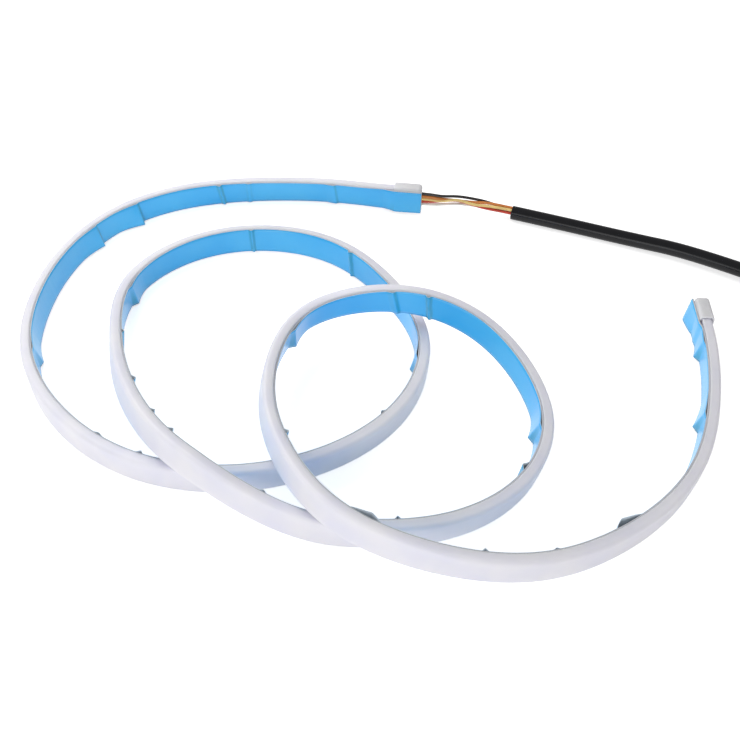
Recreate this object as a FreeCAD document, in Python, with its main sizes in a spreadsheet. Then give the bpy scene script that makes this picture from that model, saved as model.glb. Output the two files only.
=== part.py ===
"""LED tail light strip: a silicone strip on its edge in three loose loops, with its five-core lead.

Millimetres, +X right, +Y away, +Z up. The floor is Z = 0 and the origin is under the middle of the
loops. A station is a distance along the strip from the cable end. At a station, depth runs outward from
the sleeve's back and height runs up from the sleeve's middle.
"""
import FreeCAD
import Part
import math
import os
import Sketcher
from FreeCAD import Placement, Rotation, Vector

UP = Vector(0, 0, 1)

# Driving dimensions in millimetres and degrees
SIZES = {
    "strip_length": 1500,
    "strip_width": 12.4,
    "sleeve_depth": 4.5,
    "sleeve_corner": 1.3,
    "back_wall": 0.8,
    "front_wall": 1.0,
    "side_wall": 0.9,
    "slip_gap": 0.05,
    "settle_run": 60,
    "level_height": 13.3,
    "flex_thickness": 0.3,
    "tape_width": 11.0,
    "tape_thickness": 0.6,
    "liner_width": 11.4,
    "liner_thickness": 0.15,
    "bond_gap": 0.03,
    "cap_length": 14,
    "cap_wall": 0.9,
    "cap_end_wall": 1.2,
    "cap_gap": 0.1,
    "cap_rounding": 0.8,
    "step_run": 5,
    "step_clear": 1,
    "seal_length": 2.8,
    "led_inset": 30,
    "led_pitch": 16.5,
    "led_length": 3.5,
    "led_width": 2.8,
    "led_height": 0.8,
    "led_row_offset": 2.4,
    "resistor_length": 3.2,
    "resistor_width": 1.6,
    "resistor_height": 0.55,
    "driver_length": 4.9,
    "driver_width": 3.9,
    "driver_height": 1.4,
    "pad_length": 7,
    "pad_width": 1.4,
    "pad_thickness": 0.05,
    "joint_length": 2.5,
    "wire_diameter": 1.4,
    "core_pitch": 1.6,
    "tip_length": 6,
    "tip_diameter": 1.0,
    "tail_length": 24,
    "sheath_diameter": 7,
    "lead_length": 600,
    "coil_radius": 40,
    "coil_pitch": 7.5,
    "coil_slack": 0.3,
    "tie_width": 4.5,
    "tie_thickness": 1.0,
    "tie_gap": 0.2,
}

# Plan of the strip's middle line, in the order in which it runs from the cable end
LEFT_LOOP = [(11.8, 117.5), (3.5, 118.9), (-22, 124), (-52, 125.6), (-88.5, 120.5), (-120, 103), (-139, 74),
             (-146.5, 37), (-142, -0.5), (-122.5, -33.5), (-93, -56), (-55.5, -64.5), (-18.5, -56)]
MIDDLE_LOOP = [(11.5, -31), (22.5, 8.5), (8.5, 46), (-18, 74.5), (-52, 84), (-84.5, 75.5), (-107, 50),
               (-108, 12.5), (-97, -25), (-75.5, -59), (-43.5, -81), (-7, -89.5)]
RIGHT_LOOP = [(27.5, -86.5), (57.5, -66), (68, -30), (50, 5), (15, 20.5), (-26, 17.5), (-40.5, -22.5),
              (-33, -62.5), (-11.5, -94)]
TAIL = [(19.5, -108), (56, -108), (90.5, -91.5), (118.5, -65), (135, -29.5), (142.2, 3.5), (143.4, 17)]
STRAIGHT_PAST_CAP = 0.5

# How high the strip lies, in heights of itself, at shares of its length: it climbs over its own loops
LEVELS = [(0, 0), (0.4555, 0), (0.547, 1.06), (0.589, 0.08), (0.643, 0), (0.663, 0), (0.7185, 1.22),
          (0.7545, 0.65), (0.828, 1.25), (0.923, 0), (1, 0)]

# How far the strip's top leans outward, in degrees, at shares of its length
LEANS = [(0, 0), (0.01, 0), (0.022, -5), (0.045, -5), (0.085, 1.5), (0.1525, 10), (0.2075, -2),
         (0.288, 7), (0.35, 4), (0.395, 12.5), (0.5215, -14), (0.648, 11), (0.693, 9), (0.7645, -14),
         (0.7995, -12), (0.881, 3.5), (0.931, 7), (0.983, 0), (1, 0)]

# Where the liner has come off the tape in a buckle: share of the length at its crest, height, and how far
# the buckle runs before the crest and after it
BUCKLES = [
    (0.0295, 0.5, 2, 5), (0.0595, 0.4, 3, 3), (0.069, 0.8, 2, 3), (0.099, 2.2, 2, 14), (0.1167, 1.6, 2, 14),
    (0.1763, 2.2, 40, 15), (0.2195, 0.9, 2, 3), (0.2335, 1.5, 2, 2), (0.3027, 1.1, 2, 2),
    (0.3288, 2.4, 14, 30), (0.38, 1, 2, 2), (0.4167, 0.9, 2, 2), (0.4658, 2, 25, 16), (0.4903, 1.2, 2, 2), (0.5145, 1.8, 3, 2),
    (0.5305, 1.6, 2, 2), (0.54, 1.8, 2, 2), (0.5697, 1.2, 2, 2), (0.6032, 1.6, 2, 2), (0.6418, 2.2, 3, 3),
    (0.6585, 2.6, 15, 25), (0.7122, 1.1, 2, 2), (0.7222, 0.6, 2, 4), (0.7578, 2.6, 30, 15), (0.803, 2, 2, 2),
    (0.839, 3.8, 9, 3), (0.8672, 1.4, 2, 2), (0.8847, 0.7, 2, 2), (0.9053, 4, 3, 14), (0.9538, 2.4, 16, 25),
    (0.9823, 2.6, 14, 10),
]

# The ruled surface's option that keeps both of its edges in the same direction
SAME_WAY = 1
CORNER_REACH = 0.45
COARSE_STATIONS = 10
FINE_STATIONS = 2
SHORTEST_BUCKLE = 4
CORNER_STEPS = 4
DRIVER_EVERY = 9
RESISTOR_EVERY = 3

# The lead's directions: out of the cable end cap, to the side away from the loops, and up.
# The cores from the top of the cap down, the points that each passes between cap and sheath,
# its places in the sheath's two ends as angles, and how far its tail turns in to the coil's middle
CORES = {
    "black": ([(10, -0.6, 9.8), (18, 1.9, 9.3), (26, 3, 8), (33, 3.7, 6)], 351, 54, 77),
    "orange": ([(10, -0.5, 8.2), (18, 1.4, 7.8), (26, 1.5, 7.3), (33, 2.2, 6.4)], 63, 126, 63),
    "yellow": ([(10, -0.5, 6.7), (18, 0.7, 6.3), (26, 1, 5.8), (33, 1.2, 5.2)], 135, 198, 56),
    "red": ([(10, 0.3, 5.1), (18, 2, 5), (26, 2.4, 4.2), (33, 1.4, 3.3)], 207, 342, 90),
    "white": ([(10, 1.2, 3.8), (18, 3.4, 4.1), (26, 4, 3.9), (33, 3.1, 3.5)], 279, 270, 70),
}
CORE_RING_RADIUS = 1.5
CORE_RING_RISE = 0.9
CORE_STRAIGHT_OUT = 4
CORE_STRAIGHT_IN = 5
TAIL_FIRST_RUN = 10
# The sheath's route over the floor, and how far and in which direction it runs on to its coil
SHEATH_ROUTE = [(46, -0.3), (70, -5.9), (102, -14.1), (134, -23.4)]
COIL_RUN_IN = 63
COIL_HEADING = -26
TIE_ANGLE_BEFORE_END = 100
NOTCH_ANGLE = 90


def make_sheet(doc):
    """The spreadsheet of driving dimensions, one alias a row."""
    sheet = doc.addObject("Spreadsheet::Sheet", "sizes")
    for row, (alias, value) in enumerate(SIZES.items(), start=1):
        sheet.set(f"A{row}", alias)
        sheet.set(f"B{row}", str(value))
        sheet.setAlias(f"B{row}", alias)
    doc.recompute()
    return sheet


def eased(share):
    """A smooth step from 0 to 1."""
    share = min(1.0, max(0.0, share))
    return share * share * (3 - 2 * share)


class Strip:
    """The strip's course over the floor, and points on and in the strip."""

    def __init__(self, size):
        self.size = size
        self.length = size("strip_length")
        self.straight = size("cap_length") + STRAIGHT_PAST_CAP
        self.cap_side = size("cap_gap") + size("cap_wall")
        self.middle_depth = size("sleeve_depth") / 2
        self.backing = size("tape_thickness") + size("liner_thickness") + 2 * size("bond_gap")
        self.offset = Vector(0, 0, 0)
        self.known = {}
        points = [Vector(x, y, 0) for x, y in LEFT_LOOP + MIDDLE_LOOP + RIGHT_LOOP + TAIL]
        drawn = self.curve_through(points)
        self.scale = (self.length - 2 * self.straight) / drawn.length()
        self.curve = self.curve_through([point * self.scale for point in points])
        self.curve_length = self.curve.length()
        self.offset = self.middle_of_plan() * -1

    @staticmethod
    def curve_through(points):
        curve = Part.BSplineCurve()
        curve.interpolate(Points=points)
        return curve

    def middle_of_plan(self):
        """The middle of the box round the strip's plan."""
        half = self.size("sleeve_depth") / 2 + self.cap_side
        box = FreeCAD.BoundBox()
        for number in range(int(self.length) + 1):
            for depth in (self.middle_depth - half, self.middle_depth + half):
                box.add(self.point(number, depth, 0))
        return Vector(box.Center.x, box.Center.y, 0)

    def course(self, station):
        """The point on the floor under a station, and the directions along and outward there."""
        if station not in self.known:
            past = station - self.straight
            run = self.curve_length
            first = self.curve.FirstParameter
            parameter = self.curve.parameterAtDistance(min(run, max(0.0, past)), first)
            along = self.curve.tangent(parameter)[0]
            straight_on = min(0.0, past) + max(0.0, past - run)
            self.known[station] = (self.curve.value(parameter) + along * straight_on, along)
        floor_point, along = self.known[station]
        return floor_point + self.offset, along, Vector(along.y, -along.x, 0)

    def from_end(self, station):
        return min(station, self.length - station)

    def settle(self, station):
        """0 where a cap lifts the strip, 1 where the strip lies on the floor by itself."""
        return eased((self.from_end(station) - self.straight) / self.size("settle_run"))

    def value_at(self, station, knots):
        """The value at a station between knots of (share of the length, value)."""
        share = station / self.length
        for (start, low), (end, high) in zip(knots, knots[1:]):
            if share <= end:
                return low + (high - low) * eased((share - start) / (end - start))
        return knots[-1][1]

    def point(self, station, depth, height):
        """A point of the strip: the lower of its two bottom edges lies at the strip's level."""
        floor_point, along, outward = self.course(station)
        lean = math.radians(self.value_at(station, LEANS))
        rest = self.size("strip_width") / 2 * math.cos(lean)
        rest += max(self.size("sleeve_depth") * math.sin(lean), -self.backing * math.sin(lean))
        rest += self.cap_side * (1 - self.settle(station))
        rest += self.value_at(station, LEVELS) * self.size("level_height")
        sideways = (depth - self.middle_depth) * math.cos(lean) + height * math.sin(lean)
        rise = rest - depth * math.sin(lean) + height * math.cos(lean)
        return floor_point + outward * sideways + UP * rise

    def frame(self, station, depth, height):
        """A placement at a point of the strip: X back to the cable end, Y outward and Z up."""
        along = self.course(station)[1]
        lean_up = self.point(station, 0, 1) - self.point(station, 0, 0)
        rotation = Rotation(along * -1, lean_up.cross(along * -1), lean_up, "XZY")
        return Placement(self.point(station, depth, height), rotation)

    def stations(self, start, spacing):
        """Evenly spaced stations between two like distances from the strip's ends."""
        run = self.length - 2 * start
        count = round(run / spacing)
        return [start + run * number / count for number in range(count + 1)]

    def cap_step(self, station):
        """How far the tape stands back where it passes over a cap."""
        past_mouth = self.from_end(station) - self.size("cap_length") - self.size("step_clear")
        return self.cap_side * (1 - eased(past_mouth / self.size("step_run")))

    def buckle(self, station):
        """How far the liner stands off the tape."""
        height = 0.0
        for share, top, before, after in BUCKLES:
            past = station - share * self.length
            away = abs(past) / max(SHORTEST_BUCKLE, after if past > 0 else before)
            if away < 1:
                height += top * math.cos(away * math.pi / 2) ** 2
        return height


def skin_faces(strip, stations, section):
    """The ruled faces of a tube whose section has its corners at (depth, height), and its end wires."""
    sections = [section(station) for station in stations]
    edges = []
    for corner in range(len(sections[0])):
        curve = Part.BSplineCurve()
        points = [strip.point(station, *places[corner]) for station, places in zip(stations, sections)]
        curve.interpolate(Points=points, Parameters=stations)
        edges.append(curve.toShape())
    faces = []
    for one, two in zip(edges, edges[1:] + edges[:1]):
        faces.append(Part.makeRuledSurface(one, two, SAME_WAY))
    ends = []
    for station, places in ((stations[0], sections[0]), (stations[-1], sections[-1])):
        corners = [strip.point(station, *place) for place in places]
        ends.append(Part.makePolygon(corners + corners[:1]))
    return faces, ends


def swept_solid(strip, stations, section, hollow=None):
    """One closed solid along the strip, with a hollow of another section through it if there is one."""
    faces, ends = skin_faces(strip, stations, section)
    wires = [[end] for end in ends]
    if hollow:
        inner_faces, inner_ends = skin_faces(strip, stations, lambda station: hollow(station)[::-1])
        faces += inner_faces
        wires = [[end, inner] for end, inner in zip(ends, inner_ends)]
    faces += [Part.Face(pair) for pair in wires]
    shell = Part.Shell(faces)
    shell.sewShape()
    solid = Part.Solid(shell)
    if solid.Volume < 0:
        solid.reverse()
    return solid


def box_section(back, front, half_height):
    return [(back, -half_height), (back, half_height), (front, half_height), (front, -half_height)]


def sleeve_section(size):
    """A flat back and a front with rounded edges."""
    half = size("strip_width") / 2
    depth = size("sleeve_depth")
    corner = size("sleeve_corner")
    top = []
    for number in range(CORNER_STEPS + 1):
        turn = math.pi / 2 * number / CORNER_STEPS
        top.append((depth - corner + corner * math.sin(turn), half - corner + corner * math.cos(turn)))
    bottom = [(place, -height) for place, height in reversed(top)]
    return [(0, -half), (0, half)] + top + bottom


def add_feature(doc, label, shape):
    feature = doc.addObject("Part::Feature", label)
    feature.Shape = shape
    feature.Label = label
    return feature


def make_strip_layers(doc, strip, size):
    """The sleeve with the circuit inside it, and the tape and liner on its back."""
    inside_end = size("cap_end_wall") + size("seal_length")
    coarse = strip.stations(inside_end, COARSE_STATIONS)
    cavity_half = size("strip_width") / 2 - size("side_wall")
    cavity = box_section(size("back_wall"), size("sleeve_depth") - size("front_wall"), cavity_half)
    outside = sleeve_section(size)
    sleeve = swept_solid(strip, coarse, lambda station: outside, lambda station: cavity)
    flex_back = size("back_wall") + size("slip_gap")
    flex_front = flex_back + size("flex_thickness")
    flex = box_section(flex_back, flex_front, cavity_half - size("slip_gap"))
    fine = strip.stations(0, FINE_STATIONS)

    def tape(station):
        front = -size("bond_gap") - strip.cap_step(station)
        return box_section(front - size("tape_thickness"), front, size("tape_width") / 2)

    def liner(station):
        front = tape(station)[0][0] - size("bond_gap") - strip.buckle(station)
        return box_section(front - size("liner_thickness"), front, size("liner_width") / 2)

    return [
        add_feature(doc, "diffuser_sleeve", sleeve),
        add_feature(doc, "flex_circuit", swept_solid(strip, coarse, lambda station: flex)),
        add_feature(doc, "adhesive_tape", swept_solid(strip, fine, tape)),
        add_feature(doc, "release_liner", swept_solid(strip, fine, liner)),
    ]


def add_chip(doc, name, placement, length, width, height):
    """A box on the circuit, centred on its placement, whose sizes are bound to the sheet."""
    chip = doc.addObject("Part::Box", name)
    chip.setExpression("Length", f"sizes.{length}")
    chip.setExpression("Width", f"sizes.{height}")
    chip.setExpression("Height", f"sizes.{width}")
    to_corner = Vector(-doc.sizes.get(length) / 2, 0, -doc.sizes.get(width) / 2)
    chip.Placement = placement.multiply(Placement(to_corner, Rotation()))
    return chip


def add_group(doc, label, members):
    group = doc.addObject("Part::Compound", label)
    group.Links = members
    group.Label = label
    return group


def make_components(doc, strip, size, flex_face):
    """The rows of chips on the circuit, the resistors and the drivers between them."""
    face = flex_face + size("slip_gap")
    red, amber, resistors, drivers = [], [], [], []
    for number, station in enumerate(strip.stations(size("led_inset"), size("led_pitch"))):
        for row, side in ((red, 1), (amber, -1)):
            place = strip.frame(station, face, side * size("led_row_offset"))
            row.append(add_chip(doc, "chip", place, "led_length", "led_width", "led_height"))
        between = strip.frame(station + size("led_pitch") / 2, face, 0)
        if number % DRIVER_EVERY == 0:
            name = ("driver_length", "driver_width", "driver_height")
            drivers.append(add_chip(doc, "driver", between, *name))
        elif number % RESISTOR_EVERY == 1:
            name = ("resistor_length", "resistor_width", "resistor_height")
            resistors.append(add_chip(doc, "resistor", between, *name))
    return [
        add_group(doc, "red_leds", red),
        add_group(doc, "amber_leds", amber),
        add_group(doc, "resistors", resistors),
        add_group(doc, "driver_chips", drivers),
    ]


def add_sketch(body, name, offset="0"):
    """A sketch across the body's X axis, moved along that axis by an expression."""
    plane = next(item for item in body.Origin.OriginFeatures if item.Role == "YZ_Plane")
    sketch = body.newObject("Sketcher::SketchObject", name)
    sketch.AttachmentSupport = [(plane, "")]
    sketch.MapMode = "FlatFace"
    sketch.setExpression("AttachmentOffset.Base.z", offset)
    return sketch


def draw_rectangle(sketch, width, height):
    """A rectangle about the sketch's origin, its two sizes bound to expressions."""
    corners = [Vector(across, up, 0) for across, up in ((-1, -1), (1, -1), (1, 1), (-1, 1))]
    lines = []
    for one, two in zip(corners, corners[1:] + corners[:1]):
        lines.append(sketch.addGeometry(Part.LineSegment(one, two), False))
    for one, two in zip(lines, lines[1:] + lines[:1]):
        sketch.addConstraint(Sketcher.Constraint("Coincident", one, 2, two, 1))
    for level, upright in ((lines[0], lines[1]), (lines[2], lines[3])):
        sketch.addConstraint(Sketcher.Constraint("Horizontal", level))
        sketch.addConstraint(Sketcher.Constraint("Vertical", upright))
    sketch.addConstraint(Sketcher.Constraint("Symmetric", lines[0], 1, lines[2], 1, -1, 1))
    across = sketch.addConstraint(Sketcher.Constraint("DistanceX", lines[0], 1, lines[0], 2, 2.0))
    sketch.setExpression(f"Constraints[{across}]", width)
    up = sketch.addConstraint(Sketcher.Constraint("DistanceY", lines[1], 1, lines[1], 2, 2.0))
    sketch.setExpression(f"Constraints[{up}]", height)


def draw_core_holes(sketch, places, diameter):
    """A round hole at each core's place, its diameter bound to an expression."""
    for across, up in places:
        circle = sketch.addGeometry(Part.Circle(Vector(across, up, 0), UP, 0.5), False)
        sketch.addConstraint(Sketcher.Constraint("DistanceX", -1, 1, circle, 3, across))
        sketch.addConstraint(Sketcher.Constraint("DistanceY", -1, 1, circle, 3, up))
        wide = sketch.addConstraint(Sketcher.Constraint("Diameter", circle, 1.0))
        sketch.setExpression(f"Constraints[{wide}]", diameter)


def add_pad(body, name, sketch, length):
    pad = body.newObject("PartDesign::Pad", name)
    pad.Profile = sketch
    pad.setExpression("Length", length)
    return pad


def add_pocket(body, name, sketch, length):
    """A pocket that runs along +X from its sketch."""
    pocket = body.newObject("PartDesign::Pocket", name)
    pocket.Profile = sketch
    pocket.Reversed = True
    pocket.setExpression("Length", length)
    return pocket


CAP_SIDE = "2 * (sizes.cap_gap + sizes.cap_wall)"
MOUTH = ("sizes.sleeve_depth + 2 * sizes.cap_gap", "sizes.strip_width + 2 * sizes.cap_gap")
CORE_HOLE = "sizes.wire_diameter + 2 * sizes.slip_gap"


def make_cap(doc, label, placement, core_places):
    """An end cap: its closed end is at X = 0 and its mouth takes the sleeve."""
    body = doc.addObject("PartDesign::Body", label)
    body.Label = label
    outline = add_sketch(body, "outline")
    draw_rectangle(outline, f"sizes.sleeve_depth + {CAP_SIDE}", f"sizes.strip_width + {CAP_SIDE}")
    last = add_pad(body, "block", outline, "sizes.cap_length")
    doc.recompute()
    rounded = []
    for number, edge in enumerate(last.Shape.Edges, start=1):
        if edge.BoundBox.XMin < doc.sizes.cap_end_wall / 2:
            rounded.append(f"Edge{number}")
    fillet = body.newObject("PartDesign::Fillet", "rounding")
    fillet.Base = (last, rounded)
    fillet.setExpression("Radius", "min(sizes.cap_rounding; 0.9 * sizes.cap_wall)")
    mouth = add_sketch(body, "mouth", "sizes.cap_end_wall")
    draw_rectangle(mouth, *MOUTH)
    add_pocket(body, "hollow", mouth, "sizes.cap_length - sizes.cap_end_wall")
    if core_places:
        holes = add_sketch(body, "core_holes")
        draw_core_holes(holes, core_places, CORE_HOLE)
        add_pocket(body, "core_ways", holes, "sizes.cap_end_wall")
    body.Placement = placement
    return body


def make_seal(doc, label, placement, core_places):
    """The sealant that fills a cap behind the sleeve's end, round the cores if there are any."""
    body = doc.addObject("PartDesign::Body", label)
    body.Label = label
    outline = add_sketch(body, "outline", "sizes.cap_end_wall")
    draw_rectangle(outline, *MOUTH)
    draw_core_holes(outline, core_places, CORE_HOLE)
    add_pad(body, "plug", outline, "sizes.seal_length")
    body.Placement = placement
    return body


class Lead:
    """Places and directions of the lead, which leaves the cable end cap."""

    def __init__(self, strip, size, core_depth, core_heights):
        floor_point, along, outward = strip.course(0)
        self.origin = floor_point
        self.out = along * -1
        self.side = outward
        self.radius = size("sheath_diameter") / 2
        self.core_side = core_depth - strip.middle_depth
        self.core_height = dict(zip(CORES, core_heights))
        self.cap_middle = strip.point(0, strip.middle_depth, 0).z
        self.slack = size("coil_slack")
        self.half_coil = self.radius + self.slack
        self.coil_height = size("tie_thickness") + size("tie_gap") + self.half_coil
        heading = math.radians(COIL_HEADING)
        self.coil_in = self.out * math.cos(heading) + self.side * math.sin(heading)
        self.coil_left = UP.cross(self.coil_in)
        last_place = self.place(*SHEATH_ROUTE[-1], self.coil_height)
        self.entry = last_place + self.coil_in * COIL_RUN_IN
        self.coil_radius = size("coil_radius")
        self.coil_outer = self.coil_radius + self.radius
        self.centre = self.entry + self.coil_left * self.coil_radius
        stub = math.sqrt((self.coil_outer + self.radius) ** 2 - self.coil_radius ** 2) + self.slack
        self.stub_start = self.entry - self.coil_in * stub
        self.set_turns(size)

    def place(self, out, side, height):
        return self.origin + self.out * out + self.side * side + UP * height

    def sheath_points(self):
        heights = [self.radius] * (len(SHEATH_ROUTE) - 1) + [self.coil_height]
        points = [self.place(*spot, height) for spot, height in zip(SHEATH_ROUTE, heights)]
        return points + [self.stub_start]

    def set_turns(self, size):
        """Winds the length that is left inward, one pitch a turn, and finds where the coil ends."""
        laid = SHEATH_ROUTE[0][0] + rounded_path(self.sheath_points()).Length
        laid += (self.entry - self.stub_start).Length + size("tail_length") + size("tip_length")
        left = size("lead_length") - laid
        pitch = size("coil_pitch")
        reach = self.coil_radius
        self.turns = (reach - math.sqrt(reach * reach - pitch * left / math.pi)) / pitch
        self.end_radius = reach - pitch * self.turns
        self.coil_inner = self.end_radius - self.half_coil
        start = self.entry - self.centre
        self.end_angle = math.degrees(math.atan2(start.y, start.x)) + 360 * self.turns
        self.notch_radius = self.end_radius + pitch - self.half_coil

    def core_offset(self, angle, sideways):
        turn = math.radians(angle)
        return sideways * (CORE_RING_RADIUS * math.cos(turn)) + UP * (CORE_RING_RADIUS * math.sin(turn))

    def core_points(self, strip, core, inner_station, core_depth):
        """A core from its solder joint through the cap to the sheath's end."""
        between, angle = CORES[core][:2]
        height = self.core_height[core]
        points = [strip.point(inner_station, core_depth, height)]
        points.append(self.place(CORE_STRAIGHT_OUT, self.core_side, self.cap_middle + height))
        points += [self.place(*spot) for spot in between]
        start, following = self.sheath_points()[:2]
        into = (following - start).normalize()
        end = start + UP * CORE_RING_RISE + self.core_offset(angle, UP.cross(into))
        return points + [end - into * CORE_STRAIGHT_IN, end]

    def tail_points(self, core, size):
        """A core from the sheath's far end in towards the middle of the coil, with its tip to the floor."""
        angle, turn_in = CORES[core][2:]
        spoke = Rotation(UP, self.end_angle).multVec(Vector(1, 0, 0))
        onward = UP.cross(spoke)
        turned = math.radians(turn_in)
        away = onward * math.cos(turned) - spoke * math.sin(turned)
        start = self.centre + spoke * self.end_radius + self.core_offset(angle, spoke * -1)
        bend = start + onward * TAIL_FIRST_RUN
        run = size("tail_length") - TAIL_FIRST_RUN
        drop = bend.z - size("tip_diameter")
        slope = drop / (run + size("tip_length"))
        return [start, bend, bend + away * run - UP * (slope * run)]


def rounded_path(points):
    """Straight runs joined by tangent arcs, each as large as the shorter of its two runs allows."""
    edges = []
    start = points[0]
    for before, corner, after in zip(points, points[1:], points[2:]):
        come = corner - before
        leave = after - corner
        reach = CORNER_REACH * min(come.Length, leave.Length)
        turn = come.getAngle(leave)
        come.normalize()
        leave.normalize()
        radius = reach / math.tan(turn / 2)
        inward = (leave - come).normalize()
        middle = corner + inward * (radius / math.cos(turn / 2) - radius)
        edges.append(Part.LineSegment(start, corner - come * reach).toShape())
        edges.append(Part.Arc(corner - come * reach, middle, corner + leave * reach).toShape())
        start = corner + leave * reach
    edges.append(Part.LineSegment(start, points[-1]).toShape())
    return Part.Wire(edges)


def add_tube(doc, name, points, diameter):
    """A round tube along a path of runs and arcs; its diameter is bound to the sheet."""
    wire = rounded_path(points)
    path = add_feature(doc, f"{name}_path", wire)
    circle = doc.addObject("Part::Circle", f"{name}_section")
    circle.setExpression("Radius", f"sizes.{diameter} / 2")
    circle.Placement = Placement(points[0], Rotation(UP, points[1] - points[0]))
    tube = doc.addObject("Part::Sweep", name)
    tube.Sections = [circle]
    tube.Spine = (path, [f"Edge{number}" for number in range(1, len(wire.Edges) + 1)])
    tube.Solid = True
    tube.Frenet = False
    tube.Label = name
    doc.recompute()
    radii = [round(edge.Curve.Radius) for edge in wire.Edges if hasattr(edge.Curve, "Radius")]
    share = tube.Shape.Volume / (math.pi * doc.sizes.get(diameter) ** 2 / 4 * wire.Length)
    print(f"{name}: {wire.Length:.1f} mm, bend radii {radii}, {share:.4f} of section times length")
    return tube


def add_cylinder(doc, name, radius, height, placement):
    cylinder = doc.addObject("Part::Cylinder", name)
    cylinder.Radius = radius
    cylinder.setExpression("Height", height)
    cylinder.Placement = placement
    return cylinder


def add_cut(doc, name, base, tool):
    cut = doc.addObject("Part::Cut", name)
    cut.Base = base
    cut.Tool = tool
    return cut


def make_coil(doc, lead):
    """The coil's outer shape: a ring with its lead-in, stepped where the sheath ends."""
    bottom = Placement(lead.centre - UP * lead.half_coil, Rotation())
    tall = "sizes.sheath_diameter + 2 * sizes.coil_slack"
    outer = add_cylinder(doc, "coil_outer", lead.coil_outer, tall, bottom)
    inner = add_cylinder(doc, "coil_inner", lead.coil_inner, tall, bottom)
    notch_place = Placement(bottom.Base, Rotation(UP, lead.end_angle))
    notch = add_cylinder(doc, "coil_notch", lead.notch_radius, tall, notch_place)
    notch.Angle = NOTCH_ANGLE
    ring = add_cut(doc, "coil_ring", add_cut(doc, "coil_hole", outer, inner), notch)
    stub_place = Placement(lead.stub_start, Rotation(UP, lead.coil_in))
    stub = doc.addObject("Part::Cylinder", "coil_lead_in")
    stub.setExpression("Radius", "sizes.sheath_diameter / 2")
    stub.Height = (lead.entry - lead.stub_start).Length
    stub.Placement = stub_place
    coil = doc.addObject("Part::Fuse", "cable_coil")
    coil.Base = ring
    coil.Tool = stub
    coil.Label = "cable_coil"
    return coil


def make_tie(doc, lead, size):
    """A band round the coil's turns."""
    spoke_turn = Rotation(UP, lead.end_angle - TIE_ANGLE_BEFORE_END)
    spoke = spoke_turn.multVec(Vector(1, 0, 0))
    tangent = UP.cross(spoke)
    floor = Vector(lead.centre.x, lead.centre.y, 0)
    blocks = []
    outer_rim = size("tie_gap") + size("tie_thickness")
    for name, rim, tall in (
        ("tie_outside", outer_rim, "sizes.coil_slack + sizes.tie_gap + sizes.tie_thickness"),
        ("tie_inside", size("tie_gap"), "sizes.coil_slack + sizes.tie_gap"),
    ):
        block = doc.addObject("Part::Box", name)
        block.Length = lead.coil_outer - lead.coil_inner + 2 * rim
        block.setExpression("Width", "sizes.tie_width")
        block.setExpression("Height", f"sizes.sheath_diameter + 2 * ({tall})")
        corner = floor + spoke * (lead.coil_inner - rim) - tangent * (size("tie_width") / 2)
        block.Placement = Placement(corner + UP * (lead.coil_height - lead.half_coil - rim), spoke_turn)
        blocks.append(block)
    tie = add_cut(doc, "coil_tie", *blocks)
    tie.Label = "coil_tie"
    return tie


def make_lead(doc, lead, strip, size, inner_station, core_depth):
    """The cores with their tinned tips, the sheath, its coil and the tie."""
    made = []
    tips = []
    for core in CORES:
        front = lead.core_points(strip, core, inner_station, core_depth)
        tail = lead.tail_points(core, size)
        tubes = [
            add_tube(doc, f"{core}_front", front, "wire_diameter"),
            add_tube(doc, f"{core}_tail", tail, "wire_diameter"),
        ]
        made.append(add_group(doc, f"wire_{core}", tubes))
        tip = doc.addObject("Part::Cylinder", f"{core}_tip")
        tip.setExpression("Radius", "sizes.tip_diameter / 2")
        tip.setExpression("Height", "sizes.tip_length")
        tip.Placement = Placement(tail[2], Rotation(UP, tail[2] - tail[1]))
        tips.append(tip)
    made.append(add_group(doc, "tinned_tips", tips))
    made.append(add_tube(doc, "cable_sheath", lead.sheath_points(), "sheath_diameter"))
    made.append(make_coil(doc, lead))
    made.append(make_tie(doc, lead, size))
    return made


def make_terminals(doc, strip, size, core_heights, first_station, pad_face):
    """The five pads on the circuit and the solder joints on them."""
    pads = []
    joints = []
    joint_face = pad_face + size("pad_thickness") + size("slip_gap")
    for height in core_heights:
        middle = first_station + size("pad_length") / 2
        place = strip.frame(middle, pad_face, height)
        pads.append(add_chip(doc, "pad", place, "pad_length", "pad_width", "pad_thickness"))
        middle = first_station + size("pad_length") - size("joint_length") / 2
        place = strip.frame(middle, joint_face, height)
        joints.append(add_chip(doc, "joint", place, "joint_length", "pad_width", "wire_diameter"))
    return [add_group(doc, "solder_pads", pads), add_group(doc, "solder_joints", joints)]


def check_document(doc, nodes):
    """Stops on a failed object or an unsound shape."""
    for item in doc.Objects:
        if "Invalid" in item.State or "Error" in item.State:
            raise RuntimeError(f"{item.Label} failed: {item.State}")
    for node in nodes:
        if node.Shape.isNull() or not node.Shape.isValid():
            raise RuntimeError(f"{node.Label} has no sound shape")
        if not node.Shape.Solids:
            raise RuntimeError(f"{node.Label} has no solid")


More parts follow.
